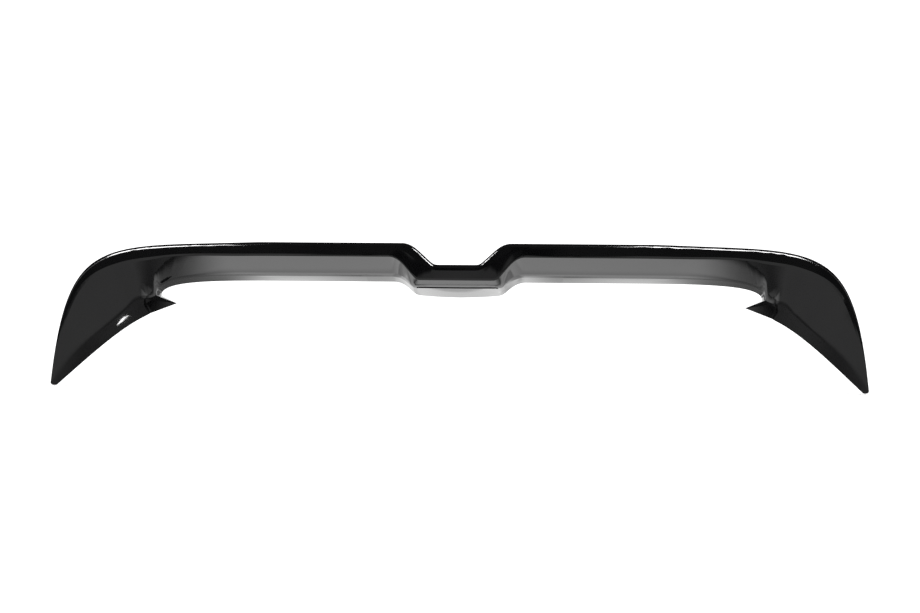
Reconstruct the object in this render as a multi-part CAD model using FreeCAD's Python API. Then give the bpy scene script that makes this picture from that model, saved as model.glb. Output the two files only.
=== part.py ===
import FreeCAD, Part
import math
import os

V = FreeCAD.Vector

# Overall size, millimetres. X runs across the car, +Y towards the car, +Z up.
span = 1200.0
fin_drop = 214.0
wall = 3.5

# Bonding plane: the open side of the shell, leaning like the rear window it sits on.
rake = 0.64
under_depth = 120.0

# Plan shape of the rear edge, and the fall and crown of the top skin.
bow = 26.0
tip_depth = 9.0
top_fall = 4.0
top_crown = 2.0

# Straight part of the wing: heights below the top edge, and where the corner starts.
band = 19.5
knee_drop = 47.0
under_drop = 55.5
corner_start = 294.0

# Step in the middle: for the top edge, the band's lower edge and the lower rim,
# the depth, the half width of the floor and the half width at the shoulders.
notch_depth = 31.5
notch_foot = 33.5
notch_head = 68.0
band_notch_depth = 34.0
band_notch_foot = 58.5
band_notch_head = 88.0
under_notch_depth = 20.0
under_notch_foot = 65.0
under_notch_head = 88.0
under_notch_sag = 3.5
knee_notch_depth = 17.0
shoulder_soft = 12.0
floor_soft = 5.0

# Band of the step: height of its upright part, and how far the rest leans in below it.
notch_upright = 8.5
notch_lean = 5.0

# Fins: crease corner, inner corner, hook point, lower edge, band width and rounded tip.
apex_reach = 0.612
apex_drop = 83.5
inner_reach = 0.528
inner_drop = 80.0
hook_length = 25.0
hook_drop = 91.5
blade_reach = 0.588
blade_drop = 110.0
blade_run = 40.0
crease_dip = 8.0
crease_lead = 14.0
fin_band = 12.5
tip_round = 5.0
tip_lean = 0.1

# Depth of the knee and the crease, as a share of the way from the rear edge to the bonding plane.
knee_share = 0.55
step_knee_share = 0.26
inner_share = 0.64
apex_share = 0.34
tip_share = 0.2

# Edge softness.
edge_round = 5.0
band_round = 2.4
knee_round = 9.0
crease_round = 4.0

# Raised bare panel on the underside of the step.
panel_length = 122.0
panel_height = 1.0
panel_corner = 5.0
panel_start = 0.06
panel_end = 0.62

half = span / 2
reach = half - corner_start
fold_share = notch_upright / (band + band_notch_depth - notch_depth)

# Shares of the way from the straight wing (0) to the fin tip (1).
turn_inner = 0.285
turn_cove = 0.315
turn_apex = 0.43
hollow_end = 0.88


def bezier(points, t):
    rows = list(points)
    while len(rows) > 1:
        rows = [a * (1 - t) + b * t for a, b in zip(rows, rows[1:])]
    return rows[0]


def blend(a, b, t):
    t = min(max(t, 0.0), 1.0)
    return a + (b - a) * t * t * (3 - 2 * t)


def bend(x, at, soft):
    if x <= at - soft:
        return 0.0
    if x >= at + soft:
        return x - at
    return (x - at + soft) ** 2 / (4 * soft)


def dip(x, foot, head):
    # One on the floor of the step, nought outside it, a straight slope with rounded ends between.
    slope = head - foot
    fall = bend(x, foot, min(floor_soft, 0.3 * slope)) - bend(x, head, min(shoulder_soft, 0.6 * slope))
    return 1 - fall / slope


def bonding_y(z):
    return under_depth + (z + under_drop) * rake


def flat(share, drop):
    return V(corner_start + share * reach, 0, -drop)


# Rear-view curves of the corner and fin: top edge, crease and lower rim.
out_edge = V(tip_lean, 0, -1).normalize()
in_edge = V(1, 0, -1).normalize()
out_side = V(-out_edge.z, 0, out_edge.x)
in_side = V(in_edge.z, 0, -in_edge.x)
tip_centre = V(half - tip_round, 0, tip_round - fin_drop)
tip_out = tip_centre + out_side * (0.95 * tip_round) + out_edge * (0.8 * tip_round)
tip_in = tip_centre + in_side * (0.95 * tip_round) + in_edge * (0.8 * tip_round)
tip_mid = (tip_out + tip_in) * 0.5
apex = flat(apex_reach, apex_drop)
inner_rim = flat(inner_reach, inner_drop)
inner_knee = inner_rim + V(1, 0, 4.5)
hook_tip = inner_rim + V(-hook_length, 0, inner_drop - hook_drop)
blade_rim = flat(blade_reach, blade_drop)
blade_lead = V(blade_run, 0, -0.5 * blade_run)


def top_edge(s):
    return bezier([flat(0, 0), flat(0.783, 8.7), tip_out - out_edge * (1.064 * fin_drop), tip_out], s)


def lower_rim(s):
    if s <= turn_inner:
        handles = [flat(0, under_drop), flat(0.333, under_drop), flat(inner_reach + 0.018, under_drop + 3.5)]
        return bezier(handles + [inner_rim], s / turn_inner)
    if s <= turn_apex:
        t = (s - turn_inner) / (turn_apex - turn_inner)
        handles = [inner_rim, inner_rim - V(0, 0, crease_dip), blade_rim - blade_lead * 0.3]
        return bezier(handles + [blade_rim], t)
    t = ((s - turn_apex) / (1 - turn_apex)) ** 0.9
    return bezier([blade_rim, blade_rim + blade_lead, tip_in - in_edge * (1.4 * blade_run), tip_in], t)


def crease(s):
    if s <= turn_inner:
        handles = [flat(0, knee_drop), flat(0.333, knee_drop), flat(inner_reach - 0.005, knee_drop + 3)]
        return bezier(handles + [inner_knee], s / turn_inner)
    if s <= turn_apex:
        t = (s - turn_inner) / (turn_apex - turn_inner)
        return bezier([inner_knee, inner_knee - V(0, 0, crease_dip), apex - V(crease_lead, 0, 0), apex], t)
    t = ((s - turn_apex) / (1 - turn_apex)) ** 1.15
    return bezier([apex, flat(0.804, 0.693 * fin_drop), flat(0.925, 0.703 * fin_drop), tip_mid], t)


def crease_share(s):
    if s <= turn_inner:
        return blend(knee_share, inner_share, s / turn_inner)
    if s <= turn_apex:
        return blend(inner_share, apex_share, ((s - turn_inner) / (turn_apex - turn_inner)) ** 1.5)
    return blend(apex_share, tip_share, (s - turn_apex) / (1 - turn_apex))


# Corners of a section, in order: upper rim, crown of the skin, top edge, fold and lower edge
# of the band, crease, lower rim.
def wing_corners(x):
    rear = bow * (x / half) ** 2
    band_dip = dip(x, band_notch_foot, band_notch_head)
    under_dip = dip(x, under_notch_foot, under_notch_head)
    a = V(x, rear, -notch_depth * dip(x, notch_foot, notch_head))
    b = V(x, rear + 1 + notch_lean * band_dip, -band - band_notch_depth * band_dip)
    fold = a + (b - a) * fold_share
    fold.y = rear + fold_share
    c = V(x, 0, -knee_drop - knee_notch_depth * under_dip)
    share = knee_share + (step_knee_share - knee_share) * under_dip
    c.y = rear + share * (bonding_y(c.z) - rear)
    sag = under_notch_sag * max(0.0, 1 - (x / under_notch_foot) ** 2)
    d = V(x, 0, -under_drop - under_notch_depth * under_dip - sag)
    e = V(x, 0, a.z - top_fall)
    return on_plane(e, a, fold, b, c, d, V(0, 0, 1))


def fin_corners(s):
    a = top_edge(s)
    c = crease(s)
    d = lower_rim(s)
    inward = (d - a).normalize()
    e = a + inward * min(top_fall, 0.3 * (d - a).Length)
    a.y = blend(bow * (a.x / half) ** 2, tip_depth, s)
    width = blend(blend(band, fin_band, (s - 0.42) / 0.33), 0.28 * tip_round, (s - 0.75) / 0.25)
    b = a + inward * width
    b.y = a.y + blend(1.0, 0.5, s)
    fold = a + (b - a) * fold_share
    c.y = a.y + crease_share(s) * (bonding_y(c.z) - a.y)
    return on_plane(e, a, fold, b, c, d, -inward)


def on_plane(e, a, fold, b, c, d, outward):
    e.y = bonding_y(e.z)
    d.y = bonding_y(d.z)
    crown = (e + a) * 0.5 + outward * top_crown
    return [e, crown, a, fold, b, c, d]


# Stations from the middle outwards: close through the step and where the wing turns into the fin.
step_count = 16
wing_count = 4
corner_count = 4
turn_count = 10
blade_count = 8
step_start = 0.8 * min(notch_foot, band_notch_foot, under_notch_foot)
step_end = 1.25 * max(notch_head, band_notch_head, under_notch_head)
wing_x = [0.0, 0.5 * step_start]
wing_x += [step_start + (step_end - step_start) * i / step_count for i in range(step_count)]
wing_x += [step_end + (corner_start - step_end) * i / wing_count for i in range(wing_count)]
fin_s = [0.2 * i / corner_count for i in range(corner_count)]
fin_s += [0.2 + 0.3 * i / turn_count for i in range(turn_count)]
fin_s += [0.5 + 0.5 * i / blade_count for i in range(blade_count + 1)]
stations = [0.0] * len(wing_x) + fin_s
sections = [wing_corners(x) for x in wing_x] + [fin_corners(s) for s in fin_s]


def past_plane(start, along, extra):
    gap = bonding_y(start.z) + extra - start.y
    return start + along * (gap / (along.y - rake * along.z))


def soften(before, corner, after, size, most):
    # Legs of a rounding, of equal length on both sides of the corner, within a share of both faces.
    back = before - corner
    on = after - corner
    leg = min(size, most * back.Length, most * on.Length)
    return [corner + back * (leg / back.Length), corner, corner + on * (leg / on.Length)]


def halved(arc):
    # The same rounding as two shorter ones.
    first = (arc[0] + arc[1]) * 0.5
    last = (arc[1] + arc[2]) * 0.5
    return [arc[0], first, (first + last) * 0.5, last, arc[2]]


def rounded(corners, s):
    e, crown, a, fold, b, c, d = corners
    edge = halved(soften(crown, a, fold, edge_round, 0.7))
    sill = soften(fold, b, c, band_round, 0.4)
    bent = soften(b, c, d, blend(knee_round, crease_round, s / turn_inner), 0.4)
    skin = [past_plane(e, e - crown, wall), crown]
    return skin + edge + [fold] + sill + bent + [past_plane(d, d - c, wall)]


def ridge(s):
    # Highest point of the rounded crease.
    return halved(rounded(fin_corners(s), s)[11:14])[2]


def tangents(rail):
    ahead = rail[1:] + [rail[-1]]
    behind = [V(-rail[1].x, rail[1].y, rail[1].z)] + rail[:-1]
    return [(q - p).normalize() for p, q in zip(behind, ahead)]


def thinned(outside):
    # The wall is taken off every face at right angles and mitred at the corners.
    runs = zip(*[tangents(list(rail)) for rail in zip(*outside)])
    result = []
    for corners, run in zip(outside, runs):
        normals = []
        for k in range(5):
            across = corners[k + 1] - corners[k]
            normals.append((run[k] + run[k + 1]).cross(across).normalize())
        inner = []
        for k in range(1, 5):
            both = normals[k - 1] + normals[k]
            inner.append(corners[k] + both * (wall / (1 + normals[k - 1].dot(normals[k]))))
        first = past_plane(inner[0], corners[0] - corners[1], 3 * wall)
        last = past_plane(inner[-1], corners[5] - corners[4], 3 * wall)
        result.append([first] + inner + [last])
    return result


def strip(curves):
    first = curves[0]
    degree = len(curves) - 1
    surface = Part.BSplineSurface()
    surface.buildFromPolesMultsKnots([curve.getPoles() for curve in curves],
                                     [degree + 1] * 2, first.getMultiplicities(),
                                     [0.0, 1.0], first.getKnots(), False, False,
                                     degree, first.Degree)
    return surface.toShape()


def flat_end(points, groups):
    ring = [Part.makeLine(points[-1], points[0])]
    for group in groups:
        arc = Part.BezierCurve()
        arc.setPoles([points[k] for k in group])
        ring.append(arc.toShape())
    return [Part.Face(Part.Wire(Part.__sortEdges__(ring)))]


def fan_end(points, groups):
    first = points[0]
    pairs = zip(points[1:], points[2:])
    return [Part.Face(Part.makePolygon([first, p, q, first])) for p, q in pairs]


def filled(faces):
    shell = Part.makeShell(faces)
    shell.sewShape()
    solid = Part.Solid(Part.Shell(shell.Faces))
    if solid.Volume < 0:
        solid.reverse()
    return solid


def closed_body(rows, groups, end):
    # One long face per group of rails from tip to tip, one over the open side, and the two ends.
    full = []
    for rail in zip(*rows):
        full.append([V(-p.x, p.y, p.z) for p in reversed(rail[1:])] + list(rail))
    across = list(zip(*full))
    places = [0.0]
    for before, after in zip(across, across[1:]):
        places.append(places[-1] + sum((q - p).Length for p, q in zip(before, after)))
    curves = []
    for rail in full:
        curve = Part.BSplineCurve()
        curve.interpolate(Points=rail, Parameters=places)
        curves.append(curve)
    faces = [strip([curves[k] for k in group]) for group in groups]
    faces.append(strip([curves[-1], curves[0]]))
    return filled(faces + end(across[0], groups) + end(across[-1], groups))


def hook(side):
    # The fin's lower face and the cove above it run on past the apex, to a point on the bonding plane.
    upper = hook_tip + (inner_rim - hook_tip) * 1.5
    lower = blade_rim + V(0.5, 0, 1)
    top = ridge(turn_apex)
    corners = []
    for foot in (hook_tip, upper, lower):
        foot = V(foot.x, bonding_y(foot.z), foot.z)
        corners.append(past_plane(foot, foot - top, 0.5 * wall))
    corners += [top, ridge(turn_cove) + V(0, 0.2 * wall, 0)]
    corners = [V(side * p.x, p.y, p.z) for p in corners]
    faces = []
    for i, j, k in ((0, 1, 2), (0, 2, 3), (2, 1, 3), (1, 4, 3), (1, 0, 4), (0, 3, 4)):
        faces.append(Part.Face(Part.makePolygon([corners[i], corners[j], corners[k], corners[i]])))
    return filled(faces)


def beyond_tip(side):
    # What lies outside the rounded tip: a wedge past the fin end less a round bar between its two edges.
    corners = [V(), out_side * half, (out_side + in_side) * half, in_side * half, V()]
    corners = [tip_centre + p for p in corners]
    wedge = Part.Face(Part.makePolygon([V(side * p.x, -half, p.z) for p in corners]))
    bar = Part.makeCylinder(tip_round, 2 * span, V(side * tip_centre.x, -span, tip_centre.z), V(0, 1, 0))
    return wedge.extrude(V(0, span, 0)).cut(bar)


# Bare panel: a low pad with rounded corners that follows the underside of the step.
panel_straight = panel_length / 2 - panel_corner
panel_places = [(0.0, 0.0), (0.5 * panel_straight, 0.0)]
for i in range(4):
    turn = math.radians(20 * i)
    panel_places.append((panel_straight + panel_corner * math.sin(turn), panel_corner * (1 - math.cos(turn))))
panel_rows = []
for x, inset in panel_places:
    knee, rim = wing_corners(x)[5:]
    run = rim - knee
    trimmed = run * (inset / run.Length)
    inward = V(1, 0, 0).cross(run).normalize() * panel_height
    near = knee + run * panel_start + trimmed
    far = knee + run * panel_end - trimmed
    panel_rows.append([near - inward, near + inward, far + inward, far - inward])
panel = closed_body(panel_rows, [(0, 1), (1, 2), (2, 3)], fan_end)

# Outer form with its rounded edges, the two hooks, the panel and the rounded tips.
outer = closed_body([rounded(*pair) for pair in zip(sections, stations)],
                    [(0, 1, 2), (2, 3, 4), (4, 5, 6), (6, 7), (7, 8),
                     (8, 9, 10), (10, 11), (11, 12, 13), (13, 14)], flat_end)
outer = outer.fuse([hook(1), hook(-1), panel]).cut([beyond_tip(1), beyond_tip(-1)])

# Inside of the shell, which stops short of the fin tips.
hollow_rows = thinned([row[:3] + row[4:] for row in sections])
hollow_rows = [row for row, s in zip(hollow_rows, stations) if s <= hollow_end]
hollow = closed_body(hollow_rows, [(0, 1), (1, 2), (2, 3), (3, 4), (4, 5)], fan_end)

# Everything past the bonding plane is trimmed, which leaves one flat rim.
lean = math.degrees(math.atan(rake))
trim = Part.makeBox(2 * span, 2 * span, 4 * span, V(-span, 0, -2 * span))
trim.rotate(V(), V(1, 0, 0), -lean)
trim.translate(V(0, bonding_y(0), 0))

shell = outer.cut([hollow, trim]).removeSplitter()
spoiler = shell.Solids[0]

# The frame's origin is the middle of the rim's upper run, on the centre plane.
upper_out = sections[0][0]
upper_in = past_plane(hollow_rows[0][1], sections[0][0] - sections[0][1], 0)
spoiler.translate((upper_out + upper_in) * -0.5)

os.makedirs("parts", exist_ok=True)
spoiler.exportStep("parts/spoiler_shell.step")
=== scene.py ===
import math

import bpy
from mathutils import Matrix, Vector


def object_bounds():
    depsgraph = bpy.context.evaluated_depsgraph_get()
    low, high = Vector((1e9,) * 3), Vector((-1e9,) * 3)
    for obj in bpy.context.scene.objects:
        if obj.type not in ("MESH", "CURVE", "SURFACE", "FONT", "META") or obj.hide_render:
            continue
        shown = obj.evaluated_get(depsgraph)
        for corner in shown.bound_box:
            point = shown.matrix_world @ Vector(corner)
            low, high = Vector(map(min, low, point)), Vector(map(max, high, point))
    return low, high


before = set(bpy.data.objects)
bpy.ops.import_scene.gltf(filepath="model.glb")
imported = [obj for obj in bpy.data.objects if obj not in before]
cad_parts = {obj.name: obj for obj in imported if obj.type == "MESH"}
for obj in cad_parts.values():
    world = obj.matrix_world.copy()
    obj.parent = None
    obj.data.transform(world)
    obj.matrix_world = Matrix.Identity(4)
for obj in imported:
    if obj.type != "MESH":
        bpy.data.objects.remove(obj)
cad_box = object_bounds()

# Stage sizes in metres. Near, far, front and behind are as the camera sees them: +Y runs away from it.
floor_gap = 0.001
floor_z = cad_box[0][2] - floor_gap
floor_half = 20

# Card on the floor: height above it, half width and far end.
floor_card_lift = 0.001
floor_card_half = 3
floor_card_far = 3

# Grey room of cards around the stage.
room_half = 4
room_near = -6
room_far = 12
room_top = 2.3

# Dark card behind the camera.
dark_half = 2.5
dark_top = 3.5

# Light cards below the wing: height, half width, clear middle of the far pair, and ends and seam along Y.
wing_card_z = -0.085
wing_card_half = 0.46
wing_card_clear = 0.16
wing_card_near = -0.055
wing_card_seam = 0.05
wing_card_far = 0.3

# Strip lamps above and behind the camera: height, and ends along Y.
strip_z = 2.2
strip_start = -3.3
strip_end = -5.9

# Small lamp that the left fin mirrors: its middle and its half sides.
glint_middle = Vector((-0.47, -0.043, -0.125))
glint_long = Vector((0.0081, 0.00285, 0))
glint_short = Vector((0.0059, 0.00395, 0))

# Camera: focal length in pixels of a picture this wide, and the sensor in millimetres.
focal_length = 1782
picture_width = 920
sensor_width = 36


# Gloss black moulding: deep black with a faint cloud, fine orange peel and slight haze.
def gloss_black():
    mat = bpy.data.materials.new("gloss_black")
    mat.use_nodes = True
    nodes, links = mat.node_tree.nodes, mat.node_tree.links
    shader = nodes["Principled BSDF"]
    shader.inputs["IOR"].default_value = 1.5
    where = nodes.new("ShaderNodeTexCoord")

    def noise(scale, detail):
        node = nodes.new("ShaderNodeTexNoise")
        node.inputs["Scale"].default_value = scale
        node.inputs["Detail"].default_value = detail
        links.new(where.outputs["Object"], node.inputs["Vector"])
        return node

    cloud = noise(scale=14, detail=4)
    tint = nodes.new("ShaderNodeValToRGB")
    tint.color_ramp.elements[0].position = 0.35
    tint.color_ramp.elements[0].color = (0.0012, 0.0012, 0.0014, 1)
    tint.color_ramp.elements[1].position = 0.7
    tint.color_ramp.elements[1].color = (0.0024, 0.0024, 0.0026, 1)
    links.new(cloud.outputs["Fac"], tint.inputs["Fac"])
    links.new(tint.outputs["Color"], shader.inputs["Base Color"])

    haze = noise(scale=45, detail=6)
    haze.inputs["Roughness"].default_value = 0.65
    rough = nodes.new("ShaderNodeMapRange")
    rough.inputs["From Min"].default_value = 0.3
    rough.inputs["From Max"].default_value = 0.75
    rough.inputs["To Min"].default_value = 0.045
    rough.inputs["To Max"].default_value = 0.1
    links.new(haze.outputs["Fac"], rough.inputs["Value"])
    links.new(rough.outputs["Result"], shader.inputs["Roughness"])

    peel = noise(scale=320, detail=2)
    bump = nodes.new("ShaderNodeBump")
    bump.inputs["Strength"].default_value = 0.15
    bump.inputs["Distance"].default_value = 0.00004
    links.new(peel.outputs["Fac"], bump.inputs["Height"])
    links.new(bump.outputs["Normal"], shader.inputs["Normal"])
    return mat


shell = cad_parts["spoiler_shell"]
shell.data.materials.clear()
shell.data.materials.append(gloss_black())


# Matt material for the stage, with its own even light.
def plain(name, shade, glow):
    mat = bpy.data.materials.new(name)
    mat.use_nodes = True
    shader = mat.node_tree.nodes["Principled BSDF"]
    shader.inputs["Base Color"].default_value = (shade, shade, shade, 1)
    shader.inputs["Roughness"].default_value = 0.9
    shader.inputs["Specular IOR Level"].default_value = 0.0
    shader.inputs["Emission Color"].default_value = (1, 1, 1, 1)
    shader.inputs["Emission Strength"].default_value = glow
    return mat


def sheet(name, corners, mat):
    mesh = bpy.data.meshes.new(name)
    mesh.from_pydata(corners, [], [(0, 1, 2, 3)])
    mesh.materials.append(mat)
    obj = bpy.data.objects.new(name, mesh)
    bpy.context.scene.collection.objects.link(obj)
    return obj


# A sheet that only the gloss sees.
def card(name, corners, mat):
    obj = sheet(name, corners, mat)
    obj.visible_camera = False
    obj.visible_diffuse = False
    obj.visible_shadow = False


def level(x0, x1, y0, y1, z):
    return [(x0, y0, z), (x1, y0, z), (x1, y1, z), (x0, y1, z)]


def across(x0, x1, z0, z1, y):
    return [(x0, y, z0), (x1, y, z0), (x1, y, z1), (x0, y, z1)]


def lengthwise(y0, y1, z0, z1, x):
    return [(x, y0, z0), (x, y1, z0), (x, y1, z1), (x, y0, z1)]


# A strip lamp's corners, from its two places across the car at its start and at its end.
def strip(start, end):
    start_side = [(x, strip_start, strip_z) for x in start]
    end_side = [(x, strip_end, strip_z) for x in reversed(end)]
    return start_side + end_side


# Light that changes over a card with the distance off the centre plane and the place along the car.
def falling_light(name, strength):
    mat = plain(name, shade=0, glow=1)
    nodes, links = mat.node_tree.nodes, mat.node_tree.links
    shader = nodes["Principled BSDF"]
    where = nodes.new("ShaderNodeTexCoord")
    axes = nodes.new("ShaderNodeSeparateXYZ")
    links.new(where.outputs["Object"], axes.inputs["Vector"])

    # Goes softly from the first value to the last over a stretch.
    def ramp(socket, stretch, first, last):
        node = nodes.new("ShaderNodeMapRange")
        node.interpolation_type = "SMOOTHSTEP"
        node.inputs["From Min"].default_value = stretch[0]
        node.inputs["From Max"].default_value = stretch[1]
        node.inputs["To Min"].default_value = first
        node.inputs["To Max"].default_value = last
        links.new(socket, node.inputs["Value"])
        return node.outputs["Result"]

    def joined(operation, first, *others):
        for other in others:
            node = nodes.new("ShaderNodeMath")
            node.operation = operation
            links.new(first, node.inputs[0])
            links.new(other, node.inputs[1])
            first = node.outputs["Value"]
        return first

    outward = nodes.new("ShaderNodeMath")
    outward.operation = "ABSOLUTE"
    links.new(axes.outputs["X"], outward.inputs[0])
    light = strength(outward.outputs["Value"], axes.outputs["Y"], ramp, joined)
    links.new(light, shader.inputs["Emission Strength"])
    return mat


# On the floor: brightest behind the middle step and dim beside the fins.
def on_floor(outward, along, ramp, joined):
    # Stretches off the centre plane.
    step_end = (0.1, 0.14)
    fins_start = (0.24, 0.3)
    fins_side = (0.26, 0.34)
    middle_end = (0.08, 0.16)
    far_start = (0.18, 0.24)
    # Stretches along the car.
    front_start = (-1.4, -0.8)
    front_end = (-0.32, -0.26)
    close_end = (-0.18, -0.08)
    behind_start = (-0.16, -0.02)
    fins_end = (0.1, 0.2)
    lift_start = (0.35, 0.5)
    behind_end = (0.6, 0.9)

    step_and_fins = joined("ADD", ramp(outward, step_end, 0.42, 0.03), ramp(outward, fins_start, 0, 0.6))
    front = joined("MULTIPLY", step_and_fins, ramp(along, front_start, 0.1, 1), ramp(along, front_end, 1, 0))
    close = joined("MULTIPLY", ramp(along, front_end, 0, 0.6), ramp(along, close_end, 1, 0.28))

    beside_fins = joined("MULTIPLY", ramp(outward, fins_side, 0, 1), ramp(along, fins_end, 1, 0))
    clear_of_fins = ramp(beside_fins, (0, 1), 1, 0.05)
    lift = joined("MULTIPLY", ramp(outward, middle_end, 0, 0.45), ramp(along, lift_start, 0, 1))
    middle = joined("ADD", ramp(outward, middle_end, 1.4, 0.5), lift)
    seen = joined("MULTIPLY", clear_of_fins, ramp(along, behind_start, 0, 1))
    behind = joined("MULTIPLY", middle, seen, ramp(along, behind_end, 1, 0.05))
    far = joined("MULTIPLY", ramp(outward, far_start, 0, 0.85), ramp(along, behind_end, 0, 1))
    return joined("ADD", front, close, behind, far)


# Close under the wing: even, and dim where the wing turns into the fins.
def under_wing(outward, along, ramp, joined):
    low_face_end = (0.36, 0.46)
    knee_end = (0.34, 0.43)
    near_edge = (wing_card_near, -0.03)
    knee_line = (-0.004, 0.006)

    even = joined("MULTIPLY", ramp(outward, low_face_end, 1.3, 0.1), ramp(along, near_edge, 0.15, 1))
    low_face = joined("MULTIPLY", even, ramp(along, knee_line, 1, 0))
    knee = joined("MULTIPLY", ramp(outward, knee_end, 1.05, 0.22), ramp(along, knee_line, 0, 1))
    return joined("ADD", low_face, knee)


# Behind the wing, where the rim mirrors it: brighter further away and dim beside the fins.
def behind_wing(outward, along, ramp, joined):
    rim_start = (wing_card_clear, 0.24)
    rim_end = (0.28, wing_card_half)
    lip_start = (wing_card_clear, 0.28)
    lip_end = (0.3, 0.41)
    rim_to_lip = (0.12, 0.17)

    rim = joined("MULTIPLY", ramp(outward, rim_start, 0.55, 0.85), ramp(outward, rim_end, 1, 0.18))
    near = joined("MULTIPLY", rim, ramp(along, rim_to_lip, 1, 0))
    lip = joined("MULTIPLY", ramp(outward, lip_start, 1.0, 1.5), ramp(outward, lip_end, 1, 0.1))
    beyond = joined("MULTIPLY", lip, ramp(along, rim_to_lip, 0, 1))
    return joined("ADD", near, beyond)


# White floor, and the card on it that the gloss sees in its place.
floor = level(-floor_half, floor_half, -floor_half, floor_half, floor_z)
sheet("floor", floor, plain("floor_white", shade=0.9, glow=0.15))
floor_card = level(-floor_card_half, floor_card_half, room_near, floor_card_far, floor_z + floor_card_lift)
card("floor_in_gloss", floor_card, falling_light("light_on_floor", on_floor))

# Light below the wing, and further away on both sides of the middle step.
near_card = level(-wing_card_half, wing_card_half, wing_card_near, wing_card_seam, wing_card_z)
card("light_under_wing", near_card, falling_light("light_under_wing", under_wing))
far_light = falling_light("light_behind_wing", behind_wing)
for side in (-1, 1):
    inner, outer = side * wing_card_clear, side * wing_card_half
    card("light_behind_wing", level(inner, outer, wing_card_seam, wing_card_far, wing_card_z), far_light)

# Strips that make the highlights along the top edge, and the glint on the left fin.
strip_light = plain("strip_light", shade=0, glow=40)
card("strip_left", strip((-1.52, -2.22), (-2.0, -2.8)), strip_light)
card("strip_right", strip((0.72, 1.66), (1.07, 2.12)), strip_light)
glint_start = glint_middle - glint_long
glint_end = glint_middle + glint_long
glint_near = [glint_start - glint_short, glint_end - glint_short]
glint_far = [glint_end + glint_short, glint_start + glint_short]
card("glint", glint_near + glint_far, plain("glint_light", shade=0, glow=18))

# Dim room that keeps the rest of the gloss dark.
dark_card = across(-dark_half, dark_half, floor_z, dark_top, room_near)
card("flag_behind_camera", dark_card, plain("flag_dark", shade=0, glow=0.05))
flag_grey = plain("flag_grey", shade=0, glow=0.4)
for side in (-room_half, room_half):
    card("flag_side", lengthwise(room_near, room_far, floor_z, room_top, side), flag_grey)
room_roof = level(-room_half, room_half, room_near, room_far, room_top)
card("flag_above", room_roof, plain("flag_dim", shade=0, glow=0.08))

world = bpy.data.worlds.new("studio")
bpy.context.scene.world = world
world.use_nodes = True
background = world.node_tree.nodes["Background"]
background.inputs["Color"].default_value = (1, 1, 1, 1)
background.inputs["Strength"].default_value = 1.5

cam_data = bpy.data.cameras.new("camera")
camera = bpy.data.objects.new("camera", cam_data)
bpy.context.scene.collection.objects.link(camera)
cam_data.sensor_width = sensor_width
cam_data.lens = focal_length / picture_width * sensor_width
cam_data.clip_end = 100
camera.location = (0.1239, -2.7288, -0.0552)
camera.rotation_euler = (math.radians(90), math.radians(-0.5), math.radians(2.6))
bpy.context.scene.camera = camera
bpy.context.scene.view_settings.view_transform = "Standard"
